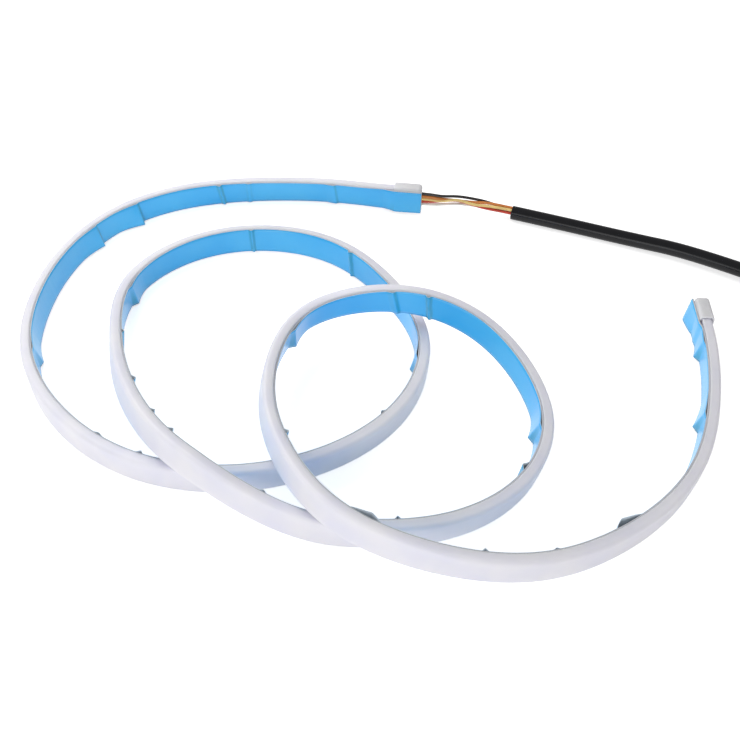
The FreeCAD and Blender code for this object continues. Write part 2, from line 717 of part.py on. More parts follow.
def main():
    doc = FreeCAD.newDocument("led_tail_light_strip")
    sheet = make_sheet(doc)

    def size(alias):
        return float(sheet.get(alias))

    strip = Strip(size)
    print(f"strip {strip.length:.0f} mm, plan drawn at {strip.scale:.4f}")
    nodes = make_strip_layers(doc, strip, size)
    flex_face = size("back_wall") + size("slip_gap") + size("flex_thickness")
    nodes += make_components(doc, strip, size, flex_face)

    pad_face = flex_face + size("slip_gap")
    core_depth = pad_face + size("pad_thickness") + size("slip_gap") + size("wire_diameter") / 2
    middle_core = (len(CORES) - 1) / 2
    core_heights = [size("core_pitch") * (middle_core - number) for number in range(len(CORES))]
    first_station = size("cap_end_wall") + size("seal_length") + size("slip_gap")
    nodes += make_terminals(doc, strip, size, core_heights, first_station, pad_face)

    half_turn = Placement(Vector(0, 0, 0), Rotation(UP, 180))
    cable_end = strip.frame(0, strip.middle_depth, 0).multiply(half_turn)
    tail_end = strip.frame(strip.length, strip.middle_depth, 0)
    core_places = [(strip.middle_depth - core_depth, height) for height in core_heights]
    nodes.append(make_cap(doc, "cable_end_cap", cable_end, core_places))
    nodes.append(make_cap(doc, "tail_end_cap", tail_end, []))
    nodes.append(make_seal(doc, "cable_end_seal", cable_end, core_places))
    nodes.append(make_seal(doc, "tail_end_seal", tail_end, []))

    lead = Lead(strip, size, core_depth, core_heights)
    inner_station = first_station + size("pad_length") - size("joint_length")
    nodes += make_lead(doc, lead, strip, size, inner_station, core_depth)

    doc.recompute()
    check_document(doc, nodes)
    os.makedirs("parts", exist_ok=True)
    for node in nodes:
        node.Shape.exportStep(os.path.join("parts", f"{node.Label}.step"))
        print(f"{node.Label}: {len(node.Shape.Solids)} solids, {node.Shape.Volume:.1f} mm3")


main()
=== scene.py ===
"""LED tail light strip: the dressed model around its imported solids.

Metres, +X right, +Y away, +Z up, the floor at Z = 0. Drawn sizes below are in millimetres, and MM turns
them into metres. A station is a distance along the strip from the cable end. At a station, depth runs
outward from the sleeve's back and height runs up from the sleeve's middle.
"""
import bpy
import math
import numpy as np
from bpy.props import FloatProperty, FloatVectorProperty, PointerProperty
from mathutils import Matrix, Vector


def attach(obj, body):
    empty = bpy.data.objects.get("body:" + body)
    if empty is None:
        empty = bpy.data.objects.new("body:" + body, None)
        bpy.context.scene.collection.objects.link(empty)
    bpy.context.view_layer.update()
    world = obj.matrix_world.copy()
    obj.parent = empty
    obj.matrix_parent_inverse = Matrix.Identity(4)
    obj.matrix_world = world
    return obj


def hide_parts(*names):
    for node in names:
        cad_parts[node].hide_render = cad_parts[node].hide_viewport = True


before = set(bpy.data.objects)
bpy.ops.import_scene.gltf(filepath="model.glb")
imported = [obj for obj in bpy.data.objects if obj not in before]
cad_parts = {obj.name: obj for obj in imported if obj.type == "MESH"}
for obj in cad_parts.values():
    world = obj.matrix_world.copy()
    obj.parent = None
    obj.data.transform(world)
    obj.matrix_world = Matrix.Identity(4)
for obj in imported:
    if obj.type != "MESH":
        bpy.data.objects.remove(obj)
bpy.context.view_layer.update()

bl_info = {
    "name": "LED tail light strip",
    "version": (1, 0, 0),
    "blender": (4, 5, 0),
    "location": "View3D > Sidebar > Light strip",
    "description": "Dresses the packed light strip: silicone sleeve, liner film, caps, cores and sheath",
    "category": "Add Mesh",
}

MM = 0.001

# How finely shapes are cut. Stations and the points round a section are this many millimetres apart
SLEEVE_STEP = 2
TAPE_STEP = 1
LINER_STEP = 0.6
SLEEVE_SPACING = 0.45
TAPE_SPACING = 0.4
TIE_SPACING = 0.2
# Numbers of points and rows, and of steps round a corner, an edge or a lip
CURVE_POINTS = 40001
LINER_ROWS = 9
FILLET_STEPS = 8
RING_STEPS = 5
TIE_RING_STEPS = 12
CAP_EDGE_STEPS = 5
CAP_LIP_STEPS = 8
# The order of a cord's curve, its steps between two points and how finely it is rounded
CORD_ORDER = 3
CORD_STEPS = 10
CORD_ROUNDING = 6
# The largest share of a half side that a ring's corner takes
CORNER_SHARE = 0.98

# Plan of the strip's middle line in millimetres, in the order in which it runs from the cable end. The
# whole is scaled a little to the strip's length
LEFT_LOOP = [(11.8, 117.5), (3.5, 118.9), (-22, 124), (-52, 125.6), (-88.5, 120.5), (-120, 103), (-139, 74),
             (-146.5, 37), (-142, -0.5), (-122.5, -33.5), (-93, -56), (-55.5, -64.5), (-18.5, -56)]
MIDDLE_LOOP = [(11.5, -31), (22.5, 8.5), (8.5, 46), (-18, 74.5), (-52, 84), (-84.5, 75.5), (-107, 50),
               (-108, 12.5), (-97, -25), (-75.5, -59), (-43.5, -81), (-7, -89.5)]
RIGHT_LOOP = [(27.5, -86.5), (57.5, -66), (68, -30), (50, 5), (15, 20.5), (-26, 17.5), (-40.5, -22.5),
              (-33, -62.5), (-11.5, -94)]
TAIL = [(19.5, -108), (56, -108), (90.5, -91.5), (118.5, -65), (135, -29.5), (142.2, 3.5), (143.4, 17)]

# How high the strip lies, as a share of the level height, at shares of its length
LEVELS = [(0, 0), (0.4555, 0), (0.547, 1.06), (0.589, 0.08), (0.643, 0), (0.663, 0), (0.7185, 1.22),
          (0.7545, 0.65), (0.828, 1.25), (0.923, 0), (1, 0)]
LEVEL_HEIGHT = 13.3
# How far the strip's top leans outward, in degrees, at shares of its length
LEANS = [(0, 0), (0.01, 0), (0.022, -5), (0.045, -5), (0.085, 1.5), (0.1525, 10), (0.2075, -2),
         (0.288, 7), (0.35, 4), (0.395, 12.5), (0.5215, -14), (0.648, 11), (0.693, 9), (0.7645, -14),
         (0.7995, -12), (0.881, 3.5), (0.931, 7), (0.983, 0), (1, 0)]
# Folds in the liner film: share of the length at the crest, how far the film's top and bottom edges stand
# off there, how far the fold runs before the crest and after it, and how much its crest slants
FOLDS = [
    (0.0087, 0.3, 1.2, 60, 3, 0), (0.0295, 0.8, 0.8, 1.2, 5, 0.1), (0.0595, 0.7, 0.7, 2, 2, 0),
    (0.069, 1.5, 1.2, 1.2, 1.8, 0.15), (0.099, 0.8, 3.4, 1.5, 14, 0.1), (0.1167, 0.7, 2.3, 1.5, 14, 0.1),
    (0.1763, 0.5, 1.6, 12, 3, 0.15), (0.2195, 0.9, 0.9, 2, 3, 0), (0.2335, 1.3, 1.1, 1.5, 1.5, 0),
    (0.3027, 1.1, 1, 1.5, 1.5, 0), (0.3288, 0.7, 2.4, 3, 12, -0.15), (0.38, 1.6, 1.4, 1.2, 1.2, 0.3),
    (0.4167, 1.4, 1.3, 1.2, 1.2, 0.05), (0.4658, 0.7, 2.2, 12, 3, 0.15), (0.4903, 1.1, 1, 1.5, 1.5, 0),
    (0.5145, 1.5, 1.2, 2, 1.5, 0), (0.5305, 1.4, 1.2, 1.5, 1.5, 0), (0.54, 1.5, 1.2, 1.5, 1.5, 0),
    (0.5697, 1.1, 1, 1.5, 1.5, 0), (0.6032, 1.3, 1.2, 1.2, 1.2, 0), (0.6418, 1.8, 1.5, 2, 2.5, 0),
    (0.6585, 0.7, 2.4, 3, 12, -0.15), (0.7122, 1.8, 1.6, 1.2, 1.2, 0.1), (0.7222, 1, 1, 1.5, 3, 0.2),
    (0.7578, 0.8, 2.4, 12, 3, 0.15), (0.803, 1.6, 1.4, 1.5, 1.5, 0), (0.839, 2.3, 2.2, 8, 4.4, 0.1),
    (0.8672, 1.2, 1.1, 1.2, 1.2, 0), (0.8847, 0.7, 0.7, 1.2, 1.2, 0), (0.9053, 2.4, 2.2, 4.4, 8, 0),
    (0.9538, 0.6, 2.4, 3, 14, -0.15), (0.9823, 0.5, 2.2, 3, 12, -0.15), (0.999, 0, 2, 9, 6, 0),
]
# A fold's side is straight up to the first of these lengths, bows out up to the second, and beyond it runs
# in smoothly
STRAIGHT_SIDE = 4
BOWED_SIDE = 10
BOWED_POWER = 0.7
SMOOTH_POWER = 1.3
# Slopes of a fold's side from which the film is painted darker as shade, and at which the painted shade is
# full
PAINTED_SHADE_SLOPES = (0.25, 0.6)

STRIP_LENGTH = 1500
STRIP_WIDTH = 12.4
SLEEVE_DEPTH = 4.5
SLEEVE_INSET = 4.0
CAP_LENGTH = 14
CAP_GAP = 0.1
CAP_WALL = 0.9
CAP_END_WALL = 1.2
CAP_INNER_CORNER = 0.3
CAP_LEAST_CORNER = 0.25
CAP_SIDE = CAP_GAP + CAP_WALL
STRAIGHT_RUN = CAP_LENGTH + 0.5
SETTLE_RUN = 60
STEP_CLEAR = 1
STEP_RUN = 5
BOND_GAP = 0.03
TAPE_THICKNESS = 0.6
TAPE_CORNER = 0.05
LINER_WIDTH = 11.4
LINER_THICKNESS = 0.15
BACKING = TAPE_THICKNESS + LINER_THICKNESS + 2 * BOND_GAP
MIDDLE_DEPTH = SLEEVE_DEPTH / 2
# Waves in the sleeve's skin: how many to a metre, and how fine
RIPPLE_SCALE = 70.0
RIPPLE_DETAIL = 1.0

# The lead: its cores from the top of the cap down, with the points that each passes between cap and
# sheath, its places in the sheath's two ends and its tail's turn to the coil's middle, in degrees
CORES = {
    "black": ([(10, -0.6, 9.8), (18, 1.9, 9.1), (26, 3.4, 7.3), (33, 3.7, 6)], 351, 54, 77),
    "orange": ([(10, -0.5, 8.2), (18, 2.2, 6.4), (26, 1.8, 6.2), (33, 2.2, 6.4)], 63, 126, 63),
    "yellow": ([(10, -0.5, 6.7), (18, 0.5, 8.2), (26, 0.5, 5.6), (33, 1.2, 5.2)], 135, 198, 56),
    "red": ([(10, 1.9, 5.4), (18, 3.9, 5.4), (26, 2.2, 4.3), (33, 1.4, 3.3)], 207, 342, 90),
    "white": ([(10, 1.2, 3.8), (18, 3.4, 3.6), (26, 3.4, 3.2), (33, 3.1, 3.5)], 279, 270, 70),
}
CORE_PITCH = 1.6
CORE_SIDE = -0.25
CORE_DIAMETER = 1.4
CORE_INSIDE = 8.55
CORE_STRAIGHT_OUT = 4
CORE_STRAIGHT_IN = 5
CORE_RING_RADIUS = 1.5
CORE_RING_RISE = 0.9
TAIL_LENGTH = 24
TAIL_FIRST_RUN = 10
TIP_LENGTH = 6
TIP_DIAMETER = 1.0
SHEATH_ROUTE = [(46, -0.3), (70, -5.9), (102, -14.1), (134, -23.4)]
SHEATH_DIAMETER = 7
COIL_RUN_IN = 63
COIL_HEADING = -26
COIL_RADIUS = 40
COIL_PITCH = 7.5
COIL_TURNS = 1.764
COIL_HEIGHT = 5.0
COIL_POINTS_A_TURN = 16
# The tie round the coil's two turns: degrees before the coil's end, the band, and the head with its cut end
TIE_BEFORE_END = 100
TIE_WIDTH = 4.5
TIE_THICKNESS = 1.0
TIE_GAP = 0.1
TIE_OUTER_CORNER = 0.25
TIE_INNER_CORNER = 0.15
TIE_HEAD = (6.2, 6.4, 4.2)
TIE_HEAD_EDGE = 0.6
TIE_HEAD_CORNER = 0.4
TIE_CUT_END = 3.0
# Degrees of turn from which the head's edges stay sharp
SHARP_ANGLE = 40

# Colours of what lies inside the sleeve, and of the tie
SOLDER_COLOUR = (0.74, 0.73, 0.70)
EPOXY_COLOUR = (0.03, 0.03, 0.032)
MASK_COLOUR = (0.84, 0.84, 0.82)
RED_LENS_COLOUR = (0.74, 0.10, 0.07)
AMBER_LENS_COLOUR = (0.90, 0.62, 0.12)
NYLON_COLOUR = (0.02, 0.02, 0.021)
# What a colour is multiplied by: the silicone's in its clouds, the film's where it is uneven, and the
# film's on the steep sides of its folds, where shade is painted in
CLOUD_TINT = (0.93, 0.94, 0.99)
DEEP_FILM_TINT = (0.45, 0.86, 0.97)
PAINTED_FOLD_SHADE_TINT = (0.5, 0.76, 0.7)
# How far a plastic's colour goes down and up
PLASTIC_CONTRAST = 0.12

# The floor, in millimetres: how far it runs from the middle, and where it lies
FLOOR_REACH = 3000
FLOOR_LEVEL = -0.05
# The lamps, in metres: where each stands, what it is aimed at, and its diameter
KEY_LAMP = ((-0.3, 0.34, 0.45), (-0.06, 0.06, 0), 0.5)
FILL_LAMP = ((-0.25, -0.84, 0.26), (0, 0, 0), 0.7)
# The camera at the photograph's angle, in millimetres and degrees
CAMERA_TARGET = (1.224, -7.94, 0)
CAMERA_DISTANCE = 417.86
CAMERA_ELEVATION = 44.41
CAMERA_LENS = 47.59
SENSOR_WIDTH = 36
CAMERA_NEAR = 10


def eased(share):
    """A smooth step from 0 to 1."""
    share = np.clip(share, 0.0, 1.0)
    return share * share * (3 - 2 * share)


def value_at(station, knots):
    """The values at stations between knots of (share of the length, value)."""
    places, values = np.array(knots, float).T
    share = np.asarray(station) / STRIP_LENGTH
    after = np.clip(np.searchsorted(places, share), 1, len(places) - 1)
    way = eased((share - places[after - 1]) / (places[after] - places[after - 1]))
    return values[after - 1] + (values[after] - values[after - 1]) * way


class PlanCurve:
    """A smooth plane curve through points, as a piecewise cubic with matching bends."""

    def __init__(self, points):
        self.points = points
        chords = np.linalg.norm(np.diff(points, axis=0), axis=1)
        self.knots = np.concatenate([[0], np.cumsum(chords)])
        self.slopes = self.solve_slopes(chords)
        self.parameters = np.linspace(0, self.knots[-1], CURVE_POINTS)
        steps = np.linalg.norm(np.diff(self.value(self.parameters), axis=0), axis=1)
        self.lengths = np.concatenate([[0], np.cumsum(steps)])

    def end_slope(self, four):
        """The slope at the first of four points of the cubic through them."""
        at = self.knots[four]
        fitted = np.linalg.solve(np.vander(at - at[0], 4), self.points[four])
        return fitted[2]

    def solve_slopes(self, chords):
        """The slopes at the points with which neighbouring pieces bend alike."""
        count = len(self.points)
        matrix = np.zeros((count, count))
        right = np.zeros((count, 2))
        matrix[0, 0] = matrix[-1, -1] = 1
        right[0] = self.end_slope(np.arange(4))
        right[-1] = self.end_slope(count - 1 - np.arange(4))
        rises = np.diff(self.points, axis=0)
        for row in range(1, count - 1):
            before, after = 1 / chords[row - 1], 1 / chords[row]
            matrix[row, row - 1:row + 2] = before, 2 * (before + after), after
            right[row] = 3 * (rises[row - 1] * before ** 2 + rises[row] * after ** 2)
        return np.linalg.solve(matrix, right)

    def span(self, parameter):
        """The piece on which each parameter lies, its run, and the way along it."""
        after = np.clip(np.searchsorted(self.knots, parameter), 1, len(self.knots) - 1)
        run = self.knots[after] - self.knots[after - 1]
        return after, run, (parameter - self.knots[after - 1]) / run

    def value(self, parameter):
        """The curve's points."""
        after, run, way = self.span(parameter)
        run, way = run[:, None], way[:, None]
        start, end = self.points[after - 1], self.points[after]
        rise = way * way * (3 - 2 * way)
        leave = way * (1 - way) ** 2 * run
        arrive = way * way * (way - 1) * run
        return start + (end - start) * rise + self.slopes[after - 1] * leave + self.slopes[after] * arrive

    def tangent(self, parameter):
        """The directions along the curve."""
        after, run, way = self.span(parameter)
        run, way = run[:, None], way[:, None]
        start, end = self.points[after - 1], self.points[after]
        slope = (end - start) * (6 * way * (1 - way)) / run
        slope = slope + self.slopes[after - 1] * (1 - way) * (1 - 3 * way)
        slope = slope + self.slopes[after] * way * (3 * way - 2)
        return slope / np.linalg.norm(slope, axis=1)[:, None]

    def at_distance(self, distance):
        """The parameters at distances along the curve."""
        return np.interp(distance, self.lengths, self.parameters)


class Course:
    """The strip's course over the floor, and points on and in the strip, in millimetres."""

    def __init__(self):
        drawn = np.array(LEFT_LOOP + MIDDLE_LOOP + RIGHT_LOOP + TAIL, float)
        self.run = STRIP_LENGTH - 2 * STRAIGHT_RUN
        self.curve = PlanCurve(drawn)
        self.curve = PlanCurve(drawn * (self.run / self.curve.lengths[-1]))
        self.offset = np.zeros(2)
        stations = np.arange(STRIP_LENGTH + 1.0)
        half = SLEEVE_DEPTH / 2 + CAP_SIDE
        sides = [self.point(stations, MIDDLE_DEPTH + side, 0)[:, :2] for side in (-half, half)]
        plan = np.concatenate(sides)
        self.offset = -(plan.min(0) + plan.max(0)) / 2

    def floor(self, station):
        """Points on the floor under stations, and the directions along and outward there."""
        past = np.asarray(station, float) - STRAIGHT_RUN
        parameter = self.curve.at_distance(np.clip(past, 0, self.run))
        along = self.curve.tangent(parameter)
        straight_on = np.minimum(0, past) + np.maximum(0, past - self.run)
        place = self.curve.value(parameter) + along * straight_on[:, None] + self.offset
        return place, along, np.stack([along[:, 1], -along[:, 0]], axis=1)

    def point(self, station, depth, height):
        """Points at stations, as they lie with the strip's lean and level."""
        station = np.atleast_1d(np.asarray(station, float))
        place, _, outward = self.floor(station)
        lean = np.radians(value_at(station, LEANS))
        from_end = np.minimum(station, STRIP_LENGTH - station)
        settle = eased((from_end - STRAIGHT_RUN) / SETTLE_RUN)
        rest = STRIP_WIDTH / 2 * np.cos(lean)
        rest = rest + np.maximum(SLEEVE_DEPTH * np.sin(lean), -BACKING * np.sin(lean))
        rest = rest + CAP_SIDE * (1 - settle) + value_at(station, LEVELS) * LEVEL_HEIGHT
        sideways = (depth - MIDDLE_DEPTH) * np.cos(lean) + height * np.sin(lean)
        rise = rest - depth * np.sin(lean) + height * np.cos(lean)
        return np.column_stack([place + outward * sideways[:, None], rise])


COURSE = Course()


def cap_step(station):
    """How far the tape stands back where it passes over a cap."""
    from_end = np.minimum(station, STRIP_LENGTH - station)
    return CAP_SIDE * (1 - eased((from_end - CAP_LENGTH - STEP_CLEAR) / STEP_RUN))


def stations_between(start, spacing):
    """Evenly spaced stations between two like distances from the strip's ends."""
    run = STRIP_LENGTH - 2 * start
    return start + run * np.linspace(0, 1, round(run / spacing) + 1)


def link(obj):
    bpy.context.scene.collection.objects.link(obj)
    return obj


def new_mesh_object(name, points, faces, material):
    mesh = bpy.data.meshes.new(name)
    mesh.from_pydata([tuple(point) for point in points], [], faces)
    mesh.validate()
    mesh.materials.append(material)
    return link(bpy.data.objects.new(name, mesh))


def smooth_faces(obj):
    obj.data.polygons.foreach_set("use_smooth", [True] * len(obj.data.polygons))
    obj.data.update()


def add_node(tree, kind, links=None, **settings):
    """A node with its settings made and its inputs linked by name."""
    node = tree.nodes.new(kind)
    for name, value in settings.items():
        setattr(node, name, value)
    for name, socket in (links or {}).items():
        tree.links.new(socket, node.inputs[name])
    return node


def set_inputs(node, **values):
    """Sets inputs by name, with an underscore for each space."""
    for name, value in values.items():
        node.inputs[name.replace("_", " ")].default_value = value


def maths(tree, operation, *values):
    """The output of a math node over sockets or plain numbers."""
    node = add_node(tree, "ShaderNodeMath", operation=operation)
    for socket, value in zip(node.inputs, values):
        if isinstance(value, (int, float)):
            socket.default_value = value
        else:
            tree.links.new(value, socket)
    return node.outputs["Value"]


def new_material(name, colour, roughness, **sockets):
    """A principled material with its plain values set, its tree and its shader."""
    material = bpy.data.materials.new(name)
    material.use_nodes = True
    material.diffuse_color = (*colour, 1)
    tree = material.node_tree
    shader = tree.nodes["Principled BSDF"]
    set_inputs(shader, Base_Color=(*colour, 1), Roughness=roughness, **sockets)
    return material, tree, shader


def noise(tree, scale, detail=3.0, vector=None):
    """A noise over Object coordinates, or over another vector."""
    if vector is None:
        vector = add_node(tree, "ShaderNodeTexCoord").outputs["Object"]
    texture = add_node(tree, "ShaderNodeTexNoise", {"Vector": vector})
    set_inputs(texture, Scale=scale, Detail=detail)
    return texture.outputs["Fac"]


def vary_colour(tree, shader, factor, low, high, spread=(0.35, 0.65)):
    """Runs the base colour between two colours as a factor goes over a spread."""
    ramp = add_node(tree, "ShaderNodeValToRGB", {"Fac": factor})
    for element, place, colour in zip(ramp.color_ramp.elements, spread, (low, high)):
        element.position = place
        element.color = (*colour, 1)
    tree.links.new(ramp.outputs["Color"], shader.inputs["Base Color"])


def vary_roughness(tree, shader, factor, low, high):
    """Runs the roughness between two values."""
    change = add_node(tree, "ShaderNodeMapRange", {"Value": factor})
    set_inputs(change, To_Min=low, To_Max=high)
    tree.links.new(change.outputs["Result"], shader.inputs["Roughness"])


def add_bump(tree, shader, height, strength, distance):
    """A bump on top of those that the shader has."""
    bump = add_node(tree, "ShaderNodeBump", {"Height": height})
    set_inputs(bump, Strength=strength, Distance=distance)
    earlier = shader.inputs["Normal"].links
    if earlier:
        tree.links.new(earlier[0].from_socket, bump.inputs["Normal"])
    tree.links.new(bump.outputs["Normal"], shader.inputs["Normal"])


def along_strip(tree, along_scale, across_scale):
    """A vector from the piece's own attributes: along the strip and across it."""
    joined = add_node(tree, "ShaderNodeCombineXYZ")
    for axis, name, scale in (("X", "station", along_scale), ("Y", "across", across_scale)):
        attribute = add_node(tree, "ShaderNodeAttribute", attribute_name=name)
        tree.links.new(maths(tree, "MULTIPLY", attribute.outputs["Fac"], scale), joined.inputs[axis])
    return joined.outputs["Vector"]


def tinted(colour, factor):
    """A colour times one factor, or times one for each of its parts, kept in range."""
    return tuple(np.minimum(1.0, np.multiply(colour, factor)))


def silicone_material(name, colour, haze):
    """Milky silicone: light spreads in it, with faint clouds, handling marks and a fine satin skin."""
    material, tree, shader = new_material(
        name, colour, roughness=0.42, Specular_IOR_Level=0.42,
        Subsurface_Weight=haze, Subsurface_Scale=0.004, Subsurface_Radius=(1.0, 0.96, 1.05))
    vary_colour(tree, shader, noise(tree, scale=55.0, detail=2.0), tinted(colour, CLOUD_TINT), colour)
    vary_roughness(tree, shader, noise(tree, scale=140.0, detail=4.0), low=0.34, high=0.52)
    add_bump(tree, shader, noise(tree, scale=90.0, detail=2.0), strength=0.25, distance=0.0004)
    add_bump(tree, shader, noise(tree, scale=2600.0, detail=2.0), strength=0.12, distance=0.00005)
    return material


def liner_material(colour):
    """Blue release film: satin, a little uneven, painted darker as shade on the steep sides of its folds,
    with fine cross creases.
    """
    material, tree, shader = new_material(
        "blue_release_film", colour, roughness=0.3, Specular_IOR_Level=0.5,
        Coat_Weight=0.3, Coat_Roughness=0.14)
    broad = along_strip(tree, along_scale=22.0, across_scale=30.0)
    patches = noise(tree, scale=1.0, detail=3.0, vector=broad)
    vary_colour(tree, shader, patches, tinted(colour, DEEP_FILM_TINT), colour)
    steep = add_node(tree, "ShaderNodeAttribute", attribute_name="steep")
    # Painted shade: the steep sides of the folds are mixed towards a darker teal
    painted_fold_shade = add_node(tree, "ShaderNodeMixRGB", {
        "Fac": steep.outputs["Fac"],
        "Color1": shader.inputs["Base Color"].links[0].from_socket,
    })
    set_inputs(painted_fold_shade, Color2=(*tinted(colour, PAINTED_FOLD_SHADE_TINT), 1))
    tree.links.new(painted_fold_shade.outputs["Color"], shader.inputs["Base Color"])
    vary_roughness(tree, shader, noise(tree, scale=220.0, detail=3.0), low=0.26, high=0.4)
    narrow = along_strip(tree, along_scale=420.0, across_scale=40.0)
    creases = noise(tree, scale=1.0, detail=2.0, vector=narrow)
    add_bump(tree, shader, creases, strength=0.18, distance=0.0004)
    add_bump(tree, shader, noise(tree, scale=1500.0, detail=2.0), strength=0.06, distance=0.00006)
    return material


def foam_material(colour):
    """Pale foam with fine cells."""
    material, tree, shader = new_material("pale_foam", colour, roughness=0.85)
    place = add_node(tree, "ShaderNodeTexCoord")
    cells = add_node(tree, "ShaderNodeTexVoronoi", {"Vector": place.outputs["Object"]})
    set_inputs(cells, Scale=4200.0)
    from_cell = cells.outputs["Distance"]
    vary_colour(tree, shader, from_cell, tinted(colour, 0.85), tinted(colour, 1.1), spread=(0.1, 0.7))
    add_bump(tree, shader, from_cell, strength=0.5, distance=0.0001)
    return material


def plastic_material(name, colour, roughness, gloss=0.5):
    """Moulded or drawn plastic with a faint grain and an uneven gloss."""
    material, tree, shader = new_material(name, colour, roughness, Specular_IOR_Level=gloss)
    dark, light = tinted(colour, 1 - PLASTIC_CONTRAST), tinted(colour, 1 + PLASTIC_CONTRAST)
    vary_colour(tree, shader, noise(tree, scale=160.0), dark, light)
    vary_roughness(tree, shader, noise(tree, scale=420.0), low=roughness * 0.8, high=roughness * 1.25)
    add_bump(tree, shader, noise(tree, scale=1800.0, detail=2.0), strength=0.1, distance=0.00006)
    return material


def solder_material(name, colour):
    """Bright solder with a slightly lumpy skin."""
    material, tree, shader = new_material(name, colour, roughness=0.28, Metallic=1.0)
    vary_colour(tree, shader, noise(tree, scale=900.0), tinted(colour, 0.8), tinted(colour, 1.15))
    vary_roughness(tree, shader, noise(tree, scale=1500.0), low=0.2, high=0.42)
    add_bump(tree, shader, noise(tree, scale=1100.0), strength=0.3, distance=0.00008)
    return material


def dress_node(node, material):
    """Gives a CAD node's object a material in every slot."""
    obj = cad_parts[node]
    if not obj.material_slots:
        obj.data.materials.append(material)
    for slot in obj.material_slots:
        slot.material = material


def finish_piece(piece, slot, *nodes):
    """Rides on the one body and stands for CAD nodes, whose objects it hides. The slot is not used."""
    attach(piece, "root")
    if nodes:
        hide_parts(*nodes)
    return piece


class SleeveSettings(bpy.types.PropertyGroup):
    front_corner: FloatProperty(
        name="Front corner", description="Rounding of the sleeve's two front edges", default=1.5 * MM,
        unit="LENGTH")
    back_corner: FloatProperty(
        name="Back corner", description="Rounding of the sleeve's two back edges", default=0.3 * MM,
        unit="LENGTH")
    crown: FloatProperty(
        name="Crown", description="How far the sleeve's front swells between its edges", default=0.2 * MM,
        unit="LENGTH")
    ripple: FloatProperty(
        name="Ripple", description="How far the soft sleeve's skin waves", default=0.06 * MM, unit="LENGTH")
    silicone: FloatVectorProperty(
        name="Silicone", description="Colour of the milky sleeve", subtype="COLOR",
        default=(0.87, 0.857, 0.93))
    cap: FloatVectorProperty(
        name="Caps", description="Colour of the end caps and sealant", subtype="COLOR",
        default=(0.90, 0.88, 0.90))
    cap_rounding: FloatProperty(
        name="Cap rounding", description="Rounding of the end caps' edges", default=1.8 * MM, unit="LENGTH")
    foam: FloatVectorProperty(
        name="Foam tape", description="Colour of the adhesive tape's edge", subtype="COLOR",
        default=(0.60, 0.61, 0.64))


class LinerSettings(bpy.types.PropertyGroup):
    film: FloatVectorProperty(
        name="Film", description="Colour of the release film", subtype="COLOR", default=(0.066, 0.55, 1.0))
    fold_height: FloatProperty(
        name="Fold height", description="Share of the drawn height of the film's folds", default=1.0,
        subtype="FACTOR", min=0.0, max=1.2)
    # Painted light: the film's tape side is made pale to stand in for light shining through the thin film
    film_back: FloatVectorProperty(
        name="Film back", description="Colour of the film's side towards the tape", subtype="COLOR",
        default=(0.72, 0.82, 0.92))


class LeadSettings(bpy.types.PropertyGroup):
    core_length: FloatProperty(
        name="Core length", description="Length of a core from its joint to the sheath", default=55 * MM,
        unit="LENGTH")
    sheath_length: FloatProperty(
        name="Sheath length", description="Length of the black sheath with its coil", default=530 * MM,
        unit="LENGTH")
    sheath: FloatVectorProperty(
        name="Sheath", description="Colour of the sheath", subtype="COLOR", default=(0.006, 0.006, 0.008))
    black: FloatVectorProperty(
        name="Black core", description="Colour of the black core", subtype="COLOR",
        default=(0.018, 0.014, 0.012))
    orange: FloatVectorProperty(
        name="Orange core", description="Colour of the orange core", subtype="COLOR",
        default=(0.68, 0.22, 0.04))
    yellow: FloatVectorProperty(
        name="Yellow core", description="Colour of the yellow core", subtype="COLOR",
        default=(0.92, 0.66, 0.24))
    red: FloatVectorProperty(
        name="Red core", description="Colour of the red core", subtype="COLOR", default=(0.62, 0.06, 0.03))
    white: FloatVectorProperty(
        name="White core", description="Colour of the white core", subtype="COLOR",
        default=(0.86, 0.84, 0.80))


class StageSettings(bpy.types.PropertyGroup):
    floor: FloatVectorProperty(
        name="Floor", description="Colour of the floor", subtype="COLOR", default=(0.95, 0.95, 0.95))
    floor_glow: FloatProperty(
        name="Floor glow", description="How much the camera sees the floor lifted towards white",
        default=0.6)
    sky: FloatProperty(name="Sky", description="Strength of the even white light", default=0.49)
    key_power: FloatProperty(name="Key", description="Power of the large lamp", default=1.85, unit="POWER")
    fill_power: FloatProperty(
        name="Fill", description="Power of the lamp in front", default=2.8, unit="POWER")


def line_object(name, points, outward, edges):
    """Points joined by edges, with the outward direction at each."""
    mesh = bpy.data.meshes.new(name)
    mesh.from_pydata([tuple(point) for point in points * MM], edges, [])
    sides = mesh.attributes.new("outward", "FLOAT_VECTOR", "POINT")
    sides.data.foreach_set("vector", outward.astype(np.float32).ravel())
    return link(bpy.data.objects.new(name, mesh))


def path_object(name, stations, depth):
    """A line of points along the strip, with the outward direction and the station at each."""
    points = COURSE.point(stations, depth, 0.0)
    outward = COURSE.point(stations, depth + 1.0, 0.0) - points
    edges = [(number, number + 1) for number in range(len(points) - 1)]
    path = line_object(name, points, outward, edges)
    places = path.data.attributes.new("station", "FLOAT", "POINT")
    places.data.foreach_set("value", (stations * MM).astype(np.float32))
    return path


